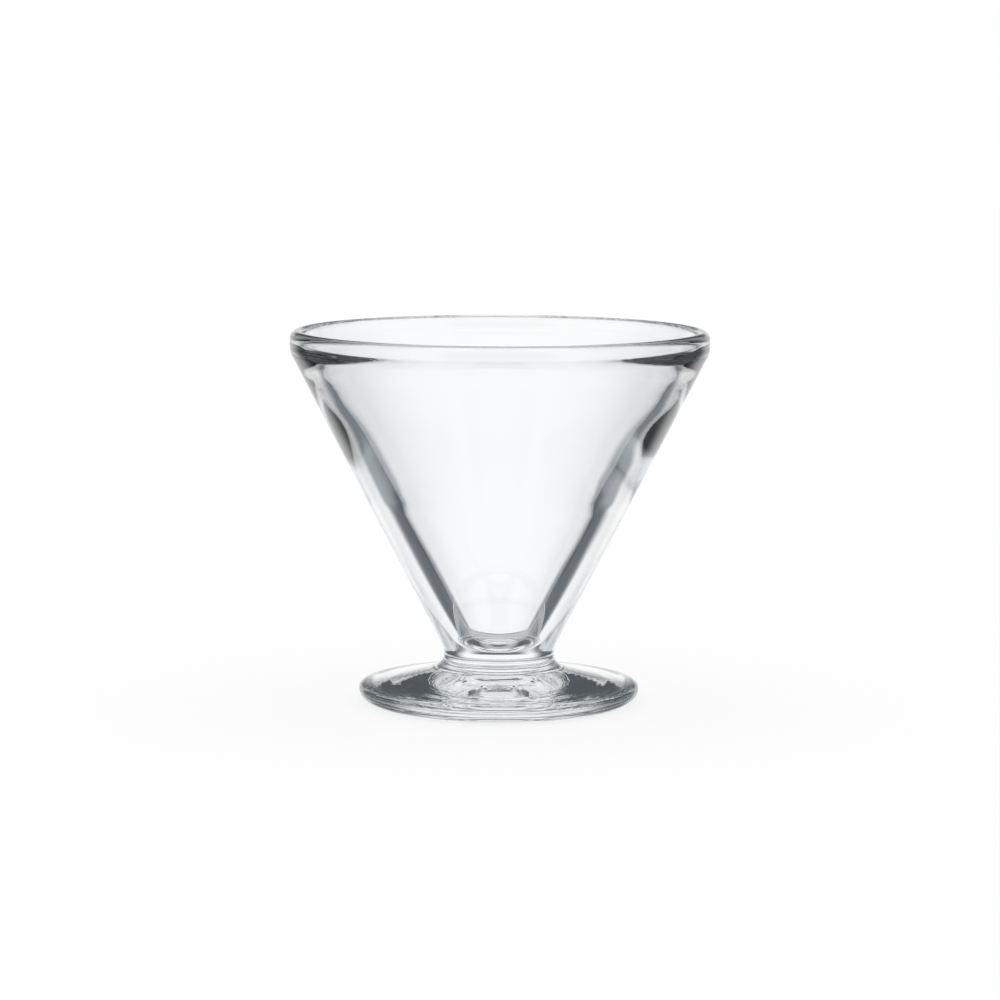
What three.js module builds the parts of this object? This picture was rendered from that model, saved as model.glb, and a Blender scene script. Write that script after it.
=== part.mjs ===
// Ice cream coupe of clear pressed glass: a thick conical bowl, a short drawn-in neck and a low foot.
// Millimetres, +Z up. The coupe stands on z = 0 and is turned about the Z axis.

import * as THREE from 'three';

// Overall sizes
const overallHeight = 96.2;
const rimDiameter = 107.6;
const footDiameter = 72.3;

// Bowl, outside
const lipOuterRadius = 2.1;
const rimBandHeight = 4;
const rimBandRounding = 5.6;

// Bowl, inside
const lipInnerRadius = 1.3;
const mouthBandHeight = 3.4;
const mouthRounding = 2.1;
const kneeDepth = 12;
const kneeWall = 4.95;
const kneeRounding = 40;
const heelDepth = 42;
const heelWall = 7.9;
const heelRounding = 70;
const cavityFloorWall = 1.9;
const cavityFloorDiameter = 11.7;
const cavityFloorRounding = 8.8;

// Neck
const neckDiameter = 28.4;
const neckWaistHeight = 12.4;
const neckTopRise = 1.2;
const neckUpperRadius = 6.5;
const neckLowerRadius = 3.7;
const neckSpread = THREE.MathUtils.degToRad(20);

// Foot
const footEdgeHeight = 3.5;
const footShoulderHeight = 5;
const footShoulderWidth = 1.5;
const footUndercut = 4.8;
const footHollowDiameter = 54;
const footHollowDepth = 1.4;

// Facets
const turnSteps = 64;
const arcSteps = 4;

const rimRadius = rimDiameter / 2;
const footRadius = footDiameter / 2;
const neckRadius = neckDiameter / 2;
const rightAngle = Math.PI / 2;

// Outer wall: a straight line that touches the neck's upper curve and the rounding under the rim band.
const neckUpperCentre = new THREE.Vector2(neckRadius + neckUpperRadius, neckWaistHeight);
const bandCentre = new THREE.Vector2(rimRadius - rimBandRounding, overallHeight - rimBandHeight);
const wallReach = bandCentre.clone().sub(neckUpperCentre);
const wallTouch = wallReach.angle() + Math.acos((neckUpperRadius + rimBandRounding) / wallReach.length());
const wallFoot = onCircle(neckUpperCentre, neckUpperRadius, wallTouch);
const wallLean = Math.PI - wallTouch;

// The bowl meets the neck at a level plane a little above the waist, part of the way up that curve.
const neckTopAngle = Math.PI - Math.asin(neckTopRise / neckUpperRadius);
const neckTop = onCircle(neckUpperCentre, neckUpperRadius, neckTopAngle);

// The neck spreads into the foot along an arc that ends where the foot's top begins.
const neckLowerCentre = new THREE.Vector2(neckRadius + neckLowerRadius, neckWaistHeight);
const neckBaseAngle = Math.PI + rightAngle - neckSpread;
const neckBase = onCircle(neckLowerCentre, neckLowerRadius, neckBaseAngle);

function onCircle(centre, radius, angle) {
  return new THREE.Vector2(centre.x + radius * Math.cos(angle), centre.y + radius * Math.sin(angle));
}

// Point of the bowl's inner wall, from its depth below the rim and the level thickness of glass beside it.
function insideWall(depth, thickness) {
  const height = overallHeight - depth;
  const outside = wallFoot.x + (height - wallFoot.y) * Math.tan(wallLean);
  return new THREE.Vector2(outside - thickness, height);
}

// Outline through a corner between two points, on an arc no larger than the shorter side has room for.
function roundCorner(profile, before, corner, after, rounding) {
  const inward = corner.clone().sub(before);
  const onward = after.clone().sub(corner);
  const halfTurn = inward.angleTo(onward) / 2;
  const room = Math.min(inward.length(), onward.length());
  const radius = Math.min(rounding, room / Math.tan(halfTurn));

  const side = Math.sign(inward.cross(onward));
  const start = corner.clone().addScaledVector(inward.normalize(), -radius * Math.tan(halfTurn));
  const startAngle = inward.angle() - side * rightAngle;
  const centre = onCircle(start, radius, startAngle + Math.PI);
  profile.absarc(centre.x, centre.y, radius, startAngle, startAngle + side * 2 * halfTurn, side < 0);
}

function turned(name, profile, glass) {
  const geometry = new THREE.LatheGeometry(profile.getPoints(arcSteps), turnSteps);
  geometry.rotateX(rightAngle);
  const mesh = new THREE.Mesh(geometry, glass);
  mesh.name = name;
  return mesh;
}

function clearGlass(color, roughness) {
  return new THREE.MeshStandardMaterial({ color, roughness, metalness: 0 });
}

// Conical cup with an upright lip and a round floor, its wall thickening most between the knee and the heel.
function makeBowl() {
  const lipOuterCentre = new THREE.Vector2(rimRadius - lipOuterRadius, overallHeight - lipOuterRadius);
  const lipInnerCentre = new THREE.Vector2(lipOuterCentre.x, overallHeight - lipInnerRadius);

  const mouthTop = onCircle(lipInnerCentre, lipInnerRadius, Math.PI);
  const mouthCorner = new THREE.Vector2(mouthTop.x, overallHeight - mouthBandHeight);
  const knee = insideWall(kneeDepth, kneeWall);
  const heel = insideWall(heelDepth, heelWall);
  const floorHeight = neckTop.y + cavityFloorWall;
  const floorCorner = new THREE.Vector2(cavityFloorDiameter / 2, floorHeight);
  const floorMiddle = new THREE.Vector2(0, floorHeight);

  const profile = new THREE.Path();
  profile.moveTo(0, neckTop.y);
  profile.lineTo(neckTop.x, neckTop.y);
  profile.absarc(neckUpperCentre.x, neckUpperCentre.y, neckUpperRadius, neckTopAngle, wallTouch, true);
  profile.absarc(bandCentre.x, bandCentre.y, rimBandRounding, -wallLean, 0, false);
  profile.absarc(lipOuterCentre.x, lipOuterCentre.y, lipOuterRadius, 0, rightAngle, false);
  profile.absarc(lipInnerCentre.x, lipInnerCentre.y, lipInnerRadius, rightAngle, Math.PI, false);
  roundCorner(profile, mouthTop, mouthCorner, knee, mouthRounding);
  roundCorner(profile, mouthCorner, knee, heel, kneeRounding);
  roundCorner(profile, knee, heel, floorCorner, heelRounding);
  roundCorner(profile, heel, floorCorner, floorMiddle, cavityFloorRounding);
  profile.lineTo(floorMiddle.x, floorMiddle.y);
  return turned('bowl', profile, clearGlass(0xe9f0ef, 0.04));
}

// Short stem, concave all round, between the bowl's flat base and the foot's flat top.
function makeNeck() {
  const profile = new THREE.Path();
  profile.moveTo(0, neckBase.y);
  profile.lineTo(neckBase.x, neckBase.y);
  profile.absarc(neckLowerCentre.x, neckLowerCentre.y, neckLowerRadius, neckBaseAngle, Math.PI, true);
  profile.absarc(neckUpperCentre.x, neckUpperCentre.y, neckUpperRadius, Math.PI, neckTopAngle, true);
  profile.lineTo(0, neckTop.y);
  return turned('neck', profile, clearGlass(0xdfe8e6, 0.05));
}

// Low bell-shaped disc on a flat ring, with a rounded edge and a shallow hollow underneath.
function makeFoot() {
  const hollowRadius = footHollowDiameter / 2;
  const hollowArc = (hollowRadius ** 2 + footHollowDepth ** 2) / (2 * footHollowDepth);
  const hollowTurn = Math.asin(hollowRadius / hollowArc);

  const shoulder = new THREE.Vector2(footRadius - footShoulderWidth, footShoulderHeight);
  const rise = Math.atan2(neckBase.y - shoulder.y, shoulder.x - neckBase.x);
  const shoulderSlope = 2 * rise - neckSpread;
  const topArc = (shoulder.x - neckBase.x) / (Math.sin(neckSpread) - Math.sin(shoulderSlope));
  const topCentre = onCircle(neckBase, topArc, rightAngle - neckSpread);
  const shoulderRise = Math.tan(shoulderSlope) * footShoulderWidth;

  const profile = new THREE.Path();
  profile.moveTo(0, footHollowDepth);
  profile.absarc(0, footHollowDepth - hollowArc, hollowArc, rightAngle, rightAngle - hollowTurn, true);
  profile.absellipse(footRadius - footUndercut, footEdgeHeight, footUndercut, footEdgeHeight, -rightAngle, 0, false);
  profile.quadraticCurveTo(footRadius, shoulder.y - shoulderRise, shoulder.x, shoulder.y);
  profile.absarc(topCentre.x, topCentre.y, topArc, -rightAngle - shoulderSlope, -rightAngle - neckSpread, true);
  profile.lineTo(0, neckBase.y);
  return turned('foot', profile, clearGlass(0xd7e1df, 0.06));
}

const coupe = new THREE.Group();
coupe.name = 'ice_cream_coupe';
coupe.add(makeBowl());
coupe.add(makeNeck());
coupe.add(makeFoot());

export default coupe;
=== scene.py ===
import bpy
import math
from mathutils import Matrix, Vector


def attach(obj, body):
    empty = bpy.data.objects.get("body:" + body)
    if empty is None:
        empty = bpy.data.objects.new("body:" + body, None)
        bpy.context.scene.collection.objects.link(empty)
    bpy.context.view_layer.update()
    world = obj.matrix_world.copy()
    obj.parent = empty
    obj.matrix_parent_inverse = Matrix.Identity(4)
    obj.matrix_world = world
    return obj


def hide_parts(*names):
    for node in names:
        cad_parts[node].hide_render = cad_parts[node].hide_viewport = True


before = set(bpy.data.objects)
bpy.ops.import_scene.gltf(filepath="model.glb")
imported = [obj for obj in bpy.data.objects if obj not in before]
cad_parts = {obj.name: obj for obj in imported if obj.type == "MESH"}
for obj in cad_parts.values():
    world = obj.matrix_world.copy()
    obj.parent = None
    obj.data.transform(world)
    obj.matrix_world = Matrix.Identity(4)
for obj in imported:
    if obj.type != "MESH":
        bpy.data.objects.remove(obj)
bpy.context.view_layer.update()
scene = bpy.context.scene
mm = 0.001
print("frame loaded:", ", ".join(sorted(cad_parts)))


def linear(hexColour):  # sRGB hex to the linear values that the nodes take
    parts = [int(hexColour[i:i + 2], 16) / 255 for i in (1, 3, 5)]
    return tuple(p / 12.92 if p <= 0.04045 else ((p + 0.055) / 1.055) ** 2.4 for p in parts) + (1.0,)


def addNode(tree, kind, values=None, links=None, **settings):
    node = tree.nodes.new(kind)
    for key, value in settings.items():
        setattr(node, key, value)
    for socket, value in (values or {}).items():
        node.inputs[socket].default_value = value
    for socket, source in (links or {}).items():
        tree.links.new(source, node.inputs[socket])
    return node


# Camera: the photograph's eye, a little above the rim and about a metre away.
eye = {
    "distance": 938.64, "height": 169.09, "side": 0.155, "pitch": 0.1238, "roll": 0.0037,
    "lens": 132.25, "sensor": 36, "nearest": 10,
}
camera = bpy.data.objects.new("camera", bpy.data.cameras.new("camera"))
scene.collection.objects.link(camera)
camera.data.sensor_width = eye["sensor"]
camera.data.lens = eye["lens"]
camera.data.clip_start = eye["nearest"] * mm
camera.matrix_world = (
    Matrix.Translation((eye["side"] * mm, -eye["distance"] * mm, eye["height"] * mm))
    @ Matrix.Rotation(math.pi / 2 - eye["pitch"], 4, "X")
    @ Matrix.Rotation(eye["roll"], 4, "Z")
)
scene.camera = camera
print("camera placed")


def onCircle(centre, radius, angle):
    return (centre[0] + radius * math.cos(angle), centre[1] + radius * math.sin(angle))


def roundOff(before, corner, after, radius, steps):  # a straight run up to a corner, and the arc round it
    inward = Vector((corner[0] - before[0], corner[1] - before[1]))
    onward = Vector((after[0] - corner[0], after[1] - corner[1]))
    turn = math.atan2(inward.x * onward.y - inward.y * onward.x, inward.dot(onward))
    radius = min(radius, min(inward.length, onward.length) / math.tan(abs(turn) / 2))
    start = Vector(corner) - inward.normalized() * radius * math.tan(abs(turn) / 2)
    heading = math.atan2(inward.y, inward.x)
    centre = onCircle(start, radius, heading + math.copysign(math.pi / 2, turn))
    return start, (*centre, turn, steps)


# Turning and finishing: what counts as one point, as level and as a sharp edge.
turning = {"weld": 0.002, "level": 0.01, "upright": 0.999, "sharpEdge": 50}


def turnPiece(name, start, moves, turnSteps):  # half an outline in millimetres, spun into a solid
    bpy.ops.object.select_all(action="DESELECT")
    bpy.ops.mesh.primitive_plane_add(size=mm, location=(0, 0, 0))
    piece = bpy.context.object
    piece.name = piece.data.name = name
    bpy.ops.object.mode_set(mode="EDIT")
    bpy.ops.mesh.select_mode(type="VERT")
    bpy.ops.mesh.merge(type="CENTER")
    bpy.ops.transform.translate(value=(start[0] * mm, 0, start[1] * mm))
    at = start
    for move in moves:
        if len(move) == 3:  # straight: to this radius and height, in so many steps
            r, z, count = move
            for i in range(count):
                step = ((r - at[0]) / count * mm, 0, (z - at[1]) / count * mm)
                bpy.ops.mesh.extrude_region_move(TRANSFORM_OT_translate={"value": step})
            at = (r, z)
        else:  # round: about this centre, through this angle, in so many steps
            r, z, angle, count = move
            bpy.ops.mesh.spin(steps=count, angle=angle, center=(r * mm, 0, z * mm), axis=(0, 1, 0))
            reach = math.hypot(at[0] - r, at[1] - z)
            at = onCircle((r, z), reach, math.atan2(at[1] - z, at[0] - r) + angle)
    bpy.ops.mesh.select_all(action="SELECT")
    bpy.ops.mesh.spin(steps=turnSteps, angle=2 * math.pi, center=(0, 0, 0), axis=(0, 0, 1))
    bpy.ops.mesh.select_all(action="SELECT")
    bpy.ops.mesh.remove_doubles(threshold=turning["weld"] * mm)
    bpy.ops.mesh.normals_make_consistent(inside=False)
    bpy.ops.object.mode_set(mode="OBJECT")
    return piece


def finishPiece(piece, node, glass, joins):  # its glass, its clear joins and the frame's facts
    piece.data.materials.append(glass)
    piece.data.materials.append(clearJoin)
    for face in piece.data.polygons:
        level = any(abs(face.center.z - z * mm) < turning["level"] * mm for z in joins)
        face.material_index = 1 if level and abs(face.normal.z) > turning["upright"] else 0
    bpy.ops.object.select_all(action="DESELECT")
    piece.select_set(True)
    bpy.context.view_layer.objects.active = piece
    bpy.ops.object.shade_smooth_by_angle(angle=math.radians(turning["sharpEdge"]))
    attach(piece, "root")
    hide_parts(node)
    print(node, "made:", len(piece.data.polygons), "faces")


# Join between two parts of one piece of glass: there is no surface, so light goes straight on.
clearJoin = bpy.data.materials.new("fused join")
clearJoin.use_nodes = True
tree = clearJoin.node_tree
tree.nodes.clear()
through = addNode(tree, "ShaderNodeBsdfTransparent", {"Color": (1, 1, 1, 1)})
addNode(tree, "ShaderNodeOutputMaterial", links={"Surface": through.outputs["BSDF"]})


def pressedGlass(name, finish):  # clear, with faint clouds in its tint and, where asked, an uneven skin
    glass = bpy.data.materials.new(name)
    glass.use_nodes = True
    tree = glass.node_tree
    shader = tree.nodes["Principled BSDF"]
    shader.inputs["Roughness"].default_value = finish["roughness"]
    shader.inputs["IOR"].default_value = finish["ior"]
    shader.inputs["Transmission Weight"].default_value = 1.0
    coords = addNode(tree, "ShaderNodeTexCoord").outputs["Object"]
    clouds = addNode(
        tree, "ShaderNodeTexNoise", {"Scale": 1 / (finish["cloudSize"] * mm), "Detail": 1.0},
        {"Vector": coords}).outputs["Fac"]
    tint = addNode(
        tree, "ShaderNodeMix", {6: linear(finish["tint"]), 7: linear(finish["deepTint"])},
        {0: clouds}, data_type="RGBA")
    tree.links.new(tint.outputs[2], shader.inputs["Base Color"])
    if "skinSize" not in finish:
        return glass
    skin = addNode(
        tree, "ShaderNodeTexNoise", {"Scale": 1 / (finish["skinSize"] * mm), "Detail": 2.0},
        {"Vector": coords}).outputs["Fac"]
    uneven = addNode(
        tree, "ShaderNodeBump", {"Strength": 1.0, "Distance": finish["skinDepth"] * mm}, {"Height": skin})
    if "rippleSize" in finish:  # rings that the mould left, about the foot's axis
        ringScale = math.pi / 10 / (finish["rippleSize"] * mm)  # at a scale of 1 they are pi / 10 apart
        rings = addNode(
            tree, "ShaderNodeTexWave",
            {"Scale": ringScale, "Distortion": 3.0, "Detail": 2.0, "Detail Scale": 0.6},
            {"Vector": coords}, wave_type="RINGS", rings_direction="Z").outputs["Fac"]
        uneven = addNode(
            tree, "ShaderNodeBump", {"Strength": 1.0, "Distance": finish["rippleDepth"] * mm},
            {"Height": rings, "Normal": uneven.outputs[0]})
    tree.links.new(uneven.outputs[0], shader.inputs["Normal"])
    return glass


# Waist circles that the three parts share, in millimetres.
waist = {"radius": 14.2, "height": 12.4, "topRise": 1.2, "upper": 6.5, "lower": 3.7, "spread": 20}
upperCentre = (waist["radius"] + waist["upper"], waist["height"])
lowerCentre = (waist["radius"] + waist["lower"], waist["height"])
topAngle = math.pi - math.asin(waist["topRise"] / waist["upper"])
baseAngle = 1.5 * math.pi - math.radians(waist["spread"])
neckTop = onCircle(upperCentre, waist["upper"], topAngle)
neckBase = onCircle(lowerCentre, waist["lower"], baseAngle)

# Bowl: a cone of thick glass with an upright lip, a knee in its inner wall and a round floor.
bowl = {
    "height": 96.2, "rim": 53.8, "lipOuter": 2.1, "lipInner": 1.3, "bandHeight": 4.0, "bandRound": 5.6,
    "mouthHeight": 3.4, "mouthRound": 2.1, "kneeDepth": 12, "kneeWall": 4.95, "kneeRound": 40,
    "heelDepth": 42, "heelWall": 7.9, "heelRound": 70,
    "floorHeight": 15.5, "floorRadius": 5.85, "floorRound": 8.8, "turnSteps": 192,
    "outerSkin": 1.5, "wavy": (22, 30, 88, 93), "waveSize": 16, "waveDepth": 0.006,
    "drift": [  # where the inner wall strays, how far sideways and inwards, and its reach up and down
        {"height": 63, "sideways": -0.12, "thicker": 0.3, "reach": 18},
        {"height": 53, "sideways": -0.16, "thicker": 0.25, "reach": 14},
        {"height": 88.8, "sideways": 0.0, "thicker": 0.11, "reach": 4},
        {"height": 84, "sideways": 0.0, "thicker": 0.09, "reach": 6},
    ],
}
bowlSteps = {  # how finely each stretch of the outline is drawn
    "neckCurve": 24, "outerWall": 24, "underBand": 16, "band": 3, "lipOuter": 16, "lipInner": 12,
    "mouth": 2, "mouthRound": 14, "toKnee": 16, "kneeRound": 20, "toHeel": 14, "heelRound": 20,
    "toFloor": 10, "floorRound": 30, "floor": 4,
}
bandCentre = (bowl["rim"] - bowl["bandRound"], bowl["height"] - bowl["bandHeight"])
wallReach = Vector(bandCentre) - Vector(upperCentre)
wallTurn = math.acos((waist["upper"] + bowl["bandRound"]) / wallReach.length)
wallTouch = math.atan2(wallReach.y, wallReach.x) + wallTurn
wallFoot = onCircle(upperCentre, waist["upper"], wallTouch)
wallTop = onCircle(bandCentre, bowl["bandRound"], wallTouch - math.pi)
lipRadius = bowl["rim"] - bowl["lipOuter"]
mouthTop = (lipRadius - bowl["lipInner"], bowl["height"] - bowl["lipInner"])
mouthCorner = (mouthTop[0], bowl["height"] - bowl["mouthHeight"])


def outsideWall(height):
    return wallFoot[0] + (height - wallFoot[1]) * math.tan(math.pi - wallTouch)


def insideWall(depth, wall):  # point of the inner wall, by its depth under the rim and the glass beside it
    height = bowl["height"] - depth
    return (outsideWall(height) - wall, height)


knee = insideWall(bowl["kneeDepth"], bowl["kneeWall"])
heel = insideWall(bowl["heelDepth"], bowl["heelWall"])
floorCorner = (bowl["floorRadius"], bowl["floorHeight"])
floorMiddle = (0, bowl["floorHeight"])
mouthStart, mouthArc = roundOff(mouthTop, mouthCorner, knee, bowl["mouthRound"], bowlSteps["mouthRound"])
kneeStart, kneeArc = roundOff(mouthCorner, knee, heel, bowl["kneeRound"], bowlSteps["kneeRound"])
heelStart, heelArc = roundOff(knee, heel, floorCorner, bowl["heelRound"], bowlSteps["heelRound"])
floorStart, floorArc = roundOff(
    heel, floorCorner, floorMiddle, bowl["floorRound"], bowlSteps["floorRound"])
bowlPiece = turnPiece("bowl_glassware", (0, neckTop[1]), [
    (*neckTop, 1),
    (*upperCentre, wallTouch - topAngle, bowlSteps["neckCurve"]),
    (*wallTop, bowlSteps["outerWall"]),
    (*bandCentre, math.pi - wallTouch, bowlSteps["underBand"]),
    (bowl["rim"], bowl["height"] - bowl["lipOuter"], bowlSteps["band"]),
    (lipRadius, bowl["height"] - bowl["lipOuter"], math.pi / 2, bowlSteps["lipOuter"]),
    (lipRadius, bowl["height"] - bowl["lipInner"], math.pi / 2, bowlSteps["lipInner"]),
    (*mouthStart, bowlSteps["mouth"]),
    mouthArc,
    (*kneeStart, bowlSteps["toKnee"]),
    kneeArc,
    (*heelStart, bowlSteps["toHeel"]),
    heelArc,
    (*floorStart, bowlSteps["toFloor"]),
    floorArc,
    (*floorMiddle, bowlSteps["floor"]),
], bowl["turnSteps"])

# The plunger that pressed the inside drifted a little, and the glass cooled in soft waves.
# Only the inner wall moves, so the outer wall is hidden from the edit.
inner = bowlPiece.vertex_groups.new(name="inner wall")
low, lowFull, highFull, high = bowl["wavy"]
for v in bowlPiece.data.vertices:
    r, z = math.hypot(v.co.x, v.co.y) / mm, v.co.z / mm
    v.hide = r > outsideWall(z) - bowl["outerSkin"] or not low < z < high
    if not v.hide:
        inner.add([v.index], min(1, (z - low) / (lowFull - low), (high - z) / (high - highFull)), "REPLACE")
bpy.ops.object.mode_set(mode="EDIT")
for drift in bowl["drift"]:
    bpy.ops.mesh.select_all(action="DESELECT")
    bpy.ops.object.mode_set(mode="OBJECT")
    heights = [v.co.z for v in bowlPiece.data.vertices if not v.hide]
    nearest = min(heights, key=lambda z: abs(z - drift["height"] * mm))
    for v in bowlPiece.data.vertices:
        v.select = not v.hide and abs(v.co.z - nearest) < turning["level"] * mm
    bpy.ops.object.mode_set(mode="EDIT")
    soft = {
        "use_proportional_edit": True, "proportional_edit_falloff": "SMOOTH",
        "proportional_size": drift["reach"] * mm,
    }
    bpy.ops.transform.translate(value=(drift["sideways"] * mm, 0, 0), **soft)
    slim = 1 - drift["thicker"] / (outsideWall(drift["height"]) - bowl["heelWall"])
    bpy.ops.transform.resize(value=(slim, slim, 1), **soft)
bpy.ops.mesh.reveal(select=False)
bpy.ops.object.mode_set(mode="OBJECT")
waves = bpy.data.textures.new("cooling waves", "CLOUDS")
waves.noise_scale = bowl["waveSize"] * mm
waves.noise_depth = 1
move = bowlPiece.modifiers.new("cooling waves", "DISPLACE")
move.texture = waves
move.texture_coords = "LOCAL"
move.vertex_group = inner.name
move.strength = bowl["waveDepth"] * mm
bpy.ops.object.modifier_apply(modifier=move.name)

# Soda-lime glass, pressed and fire-polished: clear and bright, with a breath of blue where it is deep.
bowlGlass = pressedGlass("pressed soda-lime glass, bowl", {
    "tint": "#ffffff", "deepTint": "#fcfdff", "cloudSize": 30, "roughness": 0.0, "ior": 1.52,
})
finishPiece(bowlPiece, "bowl", bowlGlass, [neckTop[1]])

# Neck: short and concave all round, fused to the bowl above and the foot below.
neck = {"upperSteps": 4, "lowerSteps": 24, "turnSteps": 192}
neckPiece = turnPiece("neck_glassware", (0, neckBase[1]), [
    (*neckBase, 1),
    (*lowerCentre, math.pi - baseAngle, neck["lowerSteps"]),
    (*upperCentre, topAngle - math.pi, neck["upperSteps"]),
    (0, neckTop[1], 1),
], neck["turnSteps"])
# The same glass, a little uneven on its skin where the stem was drawn.
neckGlass = pressedGlass("pressed soda-lime glass, neck", {
    "tint": "#ffffff", "deepTint": "#fcfdfe", "cloudSize": 12, "roughness": 0.0, "ior": 1.52,
    "skinSize": 5, "skinDepth": 0.01,
})
finishPiece(neckPiece, "neck", neckGlass, [neckBase[1], neckTop[1]])

# Foot: a low bell on a flat ring, round at its edge and a little hollow underneath.
foot = {
    "radius": 36.15, "edgeHeight": 3.5, "shoulderHeight": 5.0, "shoulderWidth": 1.5, "undercut": 4.8,
    "hollowRadius": 27.0, "hollowDepth": 1.4, "turnSteps": 192,
}
footSteps = {"hollow": 30, "ring": 4, "edge": 20, "shoulder": 14, "top": 30}
hollowArc = (foot["hollowRadius"] ** 2 + foot["hollowDepth"] ** 2) / (2 * foot["hollowDepth"])
hollowTurn = math.asin(foot["hollowRadius"] / hollowArc)
shoulder = (foot["radius"] - foot["shoulderWidth"], foot["shoulderHeight"])
rise = math.atan2(neckBase[1] - shoulder[1], shoulder[0] - neckBase[0])
spread = math.radians(waist["spread"])
shoulderSlope = 2 * rise - spread
topArc = (shoulder[0] - neckBase[0]) / (math.sin(spread) - math.sin(shoulderSlope))
topCentre = onCircle(neckBase, topArc, math.pi / 2 - spread)
edgeIn = foot["radius"] - foot["undercut"]
edgeMoves = []
for i in range(1, footSteps["edge"] + 1):  # quarter ellipse from the standing ring to the widest level
    a = i / footSteps["edge"] * math.pi / 2
    edgeMoves.append((edgeIn + foot["undercut"] * math.sin(a), foot["edgeHeight"] * (1 - math.cos(a)), 1))
cornerHeight = shoulder[1] - math.tan(shoulderSlope) * foot["shoulderWidth"]
for i in range(1, footSteps["shoulder"] + 1):  # soft curve over the shoulder
    t = i / footSteps["shoulder"]
    r = (1 - t * t) * foot["radius"] + t * t * shoulder[0]
    z = (1 - t) ** 2 * foot["edgeHeight"] + 2 * t * (1 - t) * cornerHeight + t * t * shoulder[1]
    edgeMoves.append((r, z, 1))
footPiece = turnPiece("foot_glassware", (0, foot["hollowDepth"]), [
    (0, foot["hollowDepth"] - hollowArc, -hollowTurn, footSteps["hollow"]),
    (edgeIn, 0, footSteps["ring"]),
    *edgeMoves,
    (*topCentre, shoulderSlope - spread, footSteps["top"]),
    (0, neckBase[1], 1),
], foot["turnSteps"])
# The same glass, with the mould's faint rings in its skin, which break up what it mirrors.
footGlass = pressedGlass("pressed soda-lime glass, foot", {
    "tint": "#feffff", "deepTint": "#fafcfc", "cloudSize": 14, "roughness": 0.0, "ior": 1.52,
    "skinSize": 7, "skinDepth": 0.01, "rippleSize": 1.7, "rippleDepth": 0.005,
})
finishPiece(footPiece, "foot", footGlass, [neckBase[1]])

# Floor: pale and plain. It keeps the soft shadow, and its own glow makes up the rest of the white.
floor = {"size": 6.0, "gap": 0.02, "colour": "#7c7c7c", "glow": 0.80}
bpy.ops.object.select_all(action="DESELECT")
bpy.ops.mesh.primitive_plane_add(size=floor["size"], location=(0, 0, -floor["gap"] * mm))
floorPiece = bpy.context.object
floorPiece.name = "floor"
floorPiece.visible_glossy = False
floorPiece.visible_transmission = False
paper = bpy.data.materials.new("matt white paper")
paper.use_nodes = True
tree = paper.node_tree
tree.nodes.clear()
path = addNode(tree, "ShaderNodeLightPath")
matt = addNode(tree, "ShaderNodeBsdfDiffuse", {"Color": linear(floor["colour"])})
seen = addNode(
    tree, "ShaderNodeMath", {1: floor["glow"]}, {0: path.outputs["Is Camera Ray"]}, operation="MULTIPLY")
glow = addNode(tree, "ShaderNodeEmission", {"Color": (1, 1, 1, 1)}, {"Strength": seen.outputs[0]})
both = addNode(tree, "ShaderNodeAddShader", links={0: matt.outputs[0], 1: glow.outputs[0]})
addNode(tree, "ShaderNodeOutputMaterial", links={"Surface": both.outputs[0]})
floorPiece.data.materials.append(paper)

# Studio: a white backdrop behind, grey cards beside it that draw the edges of the glass, and a pale room
# with a dark doorway in front. Each panel has a colour and the fades that bound it, in degrees: in turn
# from straight behind the glass, and in climb above the horizon.
studio = [
    {"panel": "room in front", "colour": "#e2e6e6", "turn": [(100, 130)], "climb": [(-40, -24), (80, 62)]},
    {"panel": "dark doorway in front", "colour": "#2c302e", "turn": [(142, 156)],
     "climb": [(-14, -5), (50, 38)]},
    {"panel": "window in front", "colour": "#f8fafc", "turn": [(112, 174)], "climb": [(32, 48)]},
    {"panel": "ceiling", "colour": "#eceef0", "turn": [(112, 84)], "climb": [(14, 34)]},
    {"panel": "gap over the backdrop", "colour": "#585a5e", "turn": [(28, 12)],
     "climb": [(6, 13), (35, 26)]},
    {"panel": "table behind", "colour": "#b2b4b6", "turn": [(138, 110)], "climb": [(-34, -52)]},
    {"panel": "card feet", "colour": "#90969a", "turn": [(13, 23), (80, 50)],
     "climb": [(-22, -28), (-52, -42)]},
    {"panel": "walls beside", "colour": "#c8cdd0", "turn": [(60, 80), (140, 116)],
     "climb": [(78, 48), (-58, -34)]},
    {"panel": "grey cards", "colour": "#50565c", "turn": [(25, 43), (100, 74)],
     "climb": [(78, 48), (-58, -34)]},
    {"panel": "table in front", "colour": "#eaecee", "turn": [(76, 100)], "climb": [(-36, -48)]},
    # painted shadow: the shade on the table under the foot, put into the studio as a dark patch that only
    # the glass sees
    {"panel": "painted shadow under the foot", "colour": "#585a58", "turn": [(110, 80)], "climb": [(-64, -80)]},
]
world = bpy.data.worlds.new("studio")
scene.world = world
world.use_nodes = True
tree = world.node_tree
tree.nodes.clear()
path = addNode(tree, "ShaderNodeLightPath")
coords = addNode(tree, "ShaderNodeTexCoord")
way = addNode(tree, "ShaderNodeSeparateXYZ", links={0: coords.outputs["Generated"]})
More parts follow.
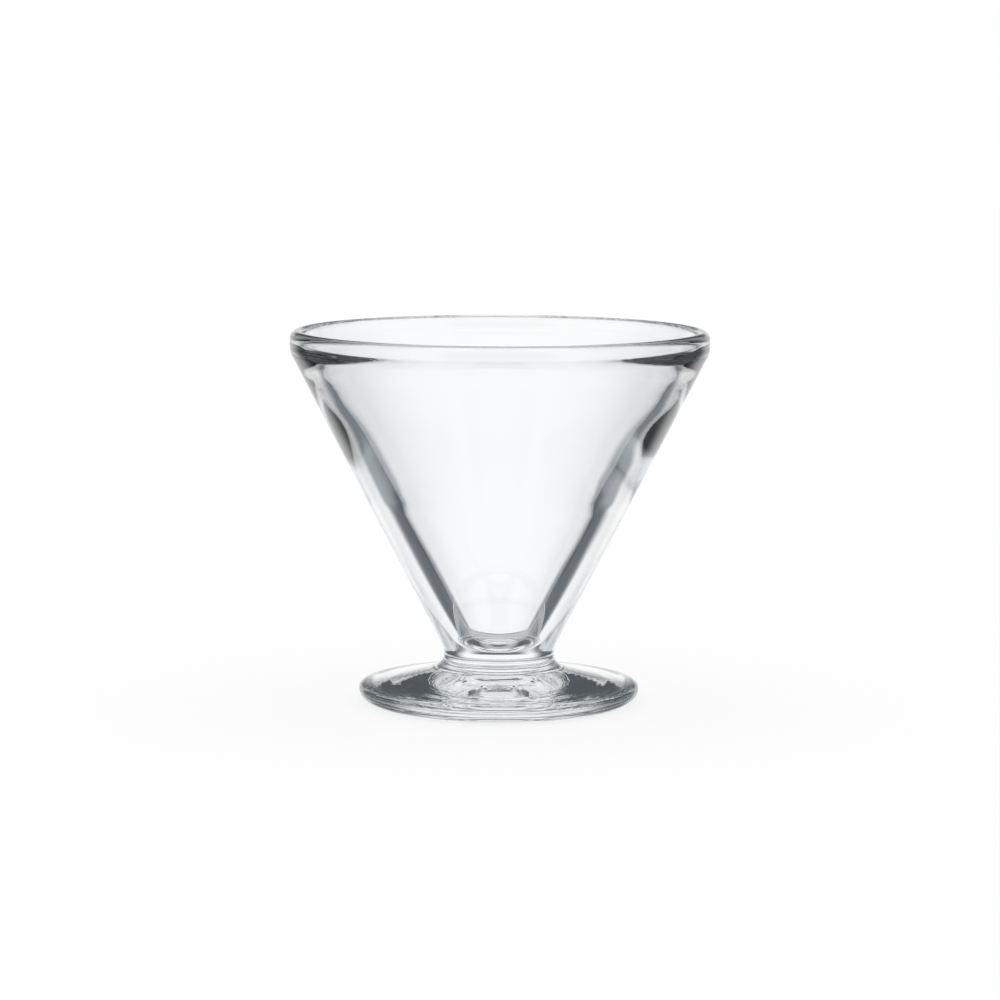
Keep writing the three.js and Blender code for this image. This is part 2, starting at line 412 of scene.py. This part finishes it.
sideways = addNode(tree, "ShaderNodeMath", links={0: way.outputs["X"]}, operation="ABSOLUTE")
turn = addNode(
    tree, "ShaderNodeMath", links={0: sideways.outputs[0], 1: way.outputs["Y"]}, operation="ARCTAN2")
climb = addNode(tree, "ShaderNodeMath", links={0: way.outputs["Z"]}, operation="ARCSINE")


def fade(source, angles):  # 0 at the first angle, 1 at the second
    first, second = (math.radians(angle) for angle in angles)
    return addNode(
        tree, "ShaderNodeMapRange", {"From Min": first, "From Max": second},
        {"Value": source.outputs[0]}, interpolation_type="SMOOTHSTEP",
    ).outputs[0]


view = addNode(tree, "ShaderNodeRGB")
view.outputs[0].default_value = (1, 1, 1, 1)
shown = view.outputs[0]
for panel in studio:
    mask = addNode(tree, "ShaderNodeValue")
    mask.outputs[0].default_value = 1.0
    for source, bounds in ((turn, panel["turn"]), (climb, panel["climb"])):
        for angles in bounds:
            mask = addNode(
                tree, "ShaderNodeMath", links={0: mask.outputs[0], 1: fade(source, angles)},
                operation="MULTIPLY")
    shown = addNode(
        tree, "ShaderNodeMix", {7: linear(panel["colour"])}, {0: mask.outputs[0], 6: shown},
        data_type="RGBA").outputs[2]
sharp = addNode(  # only the glass sees the panels: the camera and the floor see plain white
    tree, "ShaderNodeMath",
    links={0: path.outputs["Is Glossy Ray"], 1: path.outputs["Is Transmission Ray"]}, operation="MAXIMUM")
white = addNode(tree, "ShaderNodeMix", {6: (1, 1, 1, 1)}, {0: sharp.outputs[0], 7: shown}, data_type="RGBA")
sky = addNode(tree, "ShaderNodeBackground", {"Strength": 1.0}, {"Color": white.outputs[2]})
addNode(tree, "ShaderNodeOutputWorld", links={"Surface": sky.outputs[0]})
print("studio lit")

# Light turns many times inside the thick wall before it leaves.
bounces = {"all": 40, "through": 16, "mirrored": 28, "straight": 16}
scene.cycles.max_bounces = bounces["all"]
scene.cycles.transmission_bounces = bounces["through"]
scene.cycles.glossy_bounces = bounces["mirrored"]
scene.cycles.transparent_max_bounces = bounces["straight"]
scene.view_settings.view_transform = "Standard"
